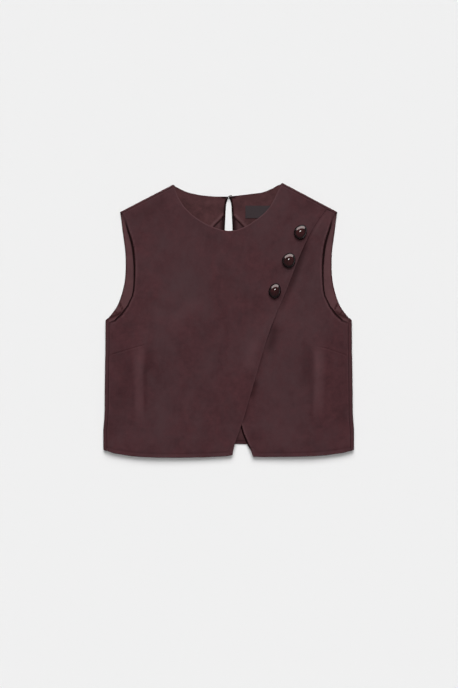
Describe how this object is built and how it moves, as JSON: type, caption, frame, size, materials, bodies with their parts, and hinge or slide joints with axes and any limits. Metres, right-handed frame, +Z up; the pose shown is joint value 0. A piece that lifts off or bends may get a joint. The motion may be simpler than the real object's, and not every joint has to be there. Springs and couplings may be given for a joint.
{
  "type": "leather vest laid flat",
  "caption": "Cropped sleeveless vest with a round neck, wrap front and keyhole back, laid flat with its front up.",
  "frame": {"origin": "the centre of the bounding box, on the surface that the vest lies on", "axes": "+Z up off the surface, +Y from the hem towards the neck, +X to the right as the front is seen"},
  "size_m": [0.4508, 0.494, 0.0201],
  "materials": {
    "leather": "dark oxblood brown, matte and softly mottled",
    "facing": "oxblood satin",
    "lining": "dark satin lining",
    "label": "bare woven label, charcoal",
    "buttons": "high gloss, very dark oxblood",
    "cord": "fine dark cord"
  },
  "bodies": {
    "root": {"back_panel": "leather", "front_overlap": "leather", "front_underlap": "leather", "back_facing_left": "facing", "back_facing_right": "facing", "back_lining": "lining", "neck_label": "label", "button_top": "buttons", "button_middle": "buttons", "button_bottom": "buttons", "nape_button": "buttons", "nape_loop": "cord"}
  },
  "joints": []
}
